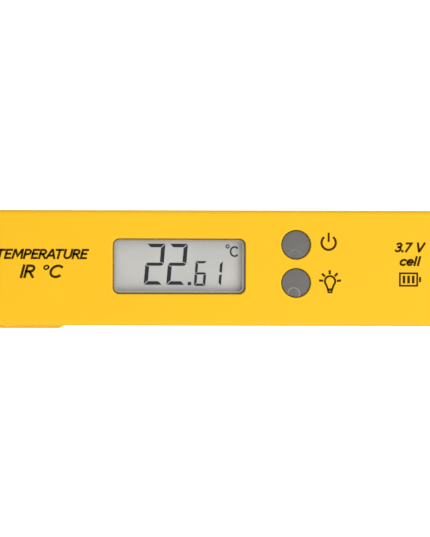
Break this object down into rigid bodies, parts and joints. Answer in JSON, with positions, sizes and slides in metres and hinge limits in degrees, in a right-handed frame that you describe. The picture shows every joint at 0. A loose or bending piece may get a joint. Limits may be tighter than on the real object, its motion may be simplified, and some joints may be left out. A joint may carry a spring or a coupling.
{
  "type": "infrared thermometer",
  "caption": "Hand-held bar thermometer with a display, round rubber keys, an edge trigger, an infrared lens at one end and a covered charging socket at the other.",
  "frame": {"origin": "middle of the flat back face, on which the bar lies", "axes": "+X along the bar from the lens to the charging socket, +Y towards the edge opposite the trigger, +Z out of the display face"},
  "size_m": [0.1408, 0.0279, 0.019],
  "materials": {
    "yellow_plastic": "satin",
    "trigger_plastic": "satin",
    "black_plastic": "satin",
    "white_plastic": "satin",
    "grey_rubber": "matte",
    "black_rubber": "matte",
    "contact_rubber": "matte",
    "clear_pane": "clear, gloss",
    "display_glass": "clear",
    "display_face": "grey-green film",
    "light_spreader": "clear, frosted",
    "foam": "adhesive foam",
    "label": "matte, blank",
    "circuit_board": "lacquered",
    "chip_plastic": "matte",
    "ceramic_chip": "matte",
    "tinned_metal": "tinned",
    "nickel": "nickel plated",
    "screw_steel": "zinc plated",
    "spring_steel": "bright",
    "anodised_barrel": "black anodised",
    "infrared_plastic": "milky",
    "filter_glass": "dark",
    "cell_foil": "crinkled foil",
    "red_wire": "insulation",
    "black_wire": "insulation"
  },
  "bodies": {
    "casing": {"backlight_lamps": "white_plastic", "battery_cell": "cell_foil", "battery_header": "white_plastic", "battery_lead_black": "black_wire", "battery_lead_red": "red_wire", "battery_pad": "foam", "battery_plug": "white_plastic", "board_screws": "screw_steel", "case_screws": "screw_steel", "charger_chip": "chip_plastic", "charger_coil": "chip_plastic", "chip_part_bodies": "ceramic_chip", "chip_part_ends": "tinned_metal", "contact_strip": "contact_rubber", "converter_chip": "chip_plastic", "cover_tether": "black_rubber", "display_frame": "white_plastic", "display_front_film": "display_face", "display_front_glass": "display_glass", "display_rear_glass": "display_glass", "display_reflector": "light_spreader", "display_window": "clear_pane", "front_shell": "yellow_plastic", "infrared_lens": "infrared_plastic", "key_switch_bodies": "black_plastic", "keypad_mat": "grey_rubber", "lens_barrel": "anodised_barrel", "lens_ring": "anodised_barrel", "lens_seal": "black_rubber", "light_guide": "light_spreader", "link_header": "black_plastic", "link_pins": "tinned_metal", "main_board": "circuit_board", "microcontroller": "chip_plastic", "nose_bezel": "black_plastic", "rear_label": "label", "rear_shell": "yellow_plastic", "sensor_board": "circuit_board", "sensor_can": "nickel", "sensor_filter": "filter_glass", "sensor_pins": "tinned_metal", "socket_shell": "nickel", "socket_tongue": "black_plastic", "timing_crystal": "nickel", "trigger_pin": "spring_steel", "trigger_spring": "spring_steel", "trigger_switch": "black_plastic", "window_gasket": "foam"},
    "power_button": {"power_key": "grey_rubber", "power_plunger": "white_plastic"},
    "light_button": {"light_key": "grey_rubber", "light_plunger": "white_plastic"},
    "trigger": {"trigger_lever": "trigger_plastic"},
    "switch_plunger": {"trigger_plunger": "white_plastic"},
    "dust_cover": {"socket_cover": "black_rubber"}
  },
  "joints": [
    {"name": "power_key_press", "type": "slide", "parent": "casing", "child": "power_button", "axis": [0, 0, -1], "range_m": [0, 0.00035], "stiffness_N_per_m": 400},
    {"name": "light_key_press", "type": "slide", "parent": "casing", "child": "light_button", "axis": [0, 0, -1], "range_m": [0, 0.00035], "stiffness_N_per_m": 400},
    {"name": "trigger_press", "type": "hinge", "parent": "casing", "child": "trigger", "pos_m": [-0.0385, -0.01, 0.006], "axis": [0, 0, -1], "range_deg": [0, 2.2], "stiffness_Nm_per_rad": 0.3, "deforming": ["trigger_spring"]},
    {"name": "switch_travel", "type": "slide", "parent": "casing", "child": "switch_plunger", "axis": [0, 1, 0], "range_m": [0, 0.00035]},
    {"name": "dust_cover_hinge", "type": "hinge", "parent": "casing", "child": "dust_cover", "pos_m": [0.07, 0.00528, 0.0138], "axis": [0, 0, 1], "range_deg": [0, 110]}
  ],
  "couplings": [
    {"joint": "switch_travel", "follows": "trigger_press", "m_per_rad": 0.0081}
  ]
}
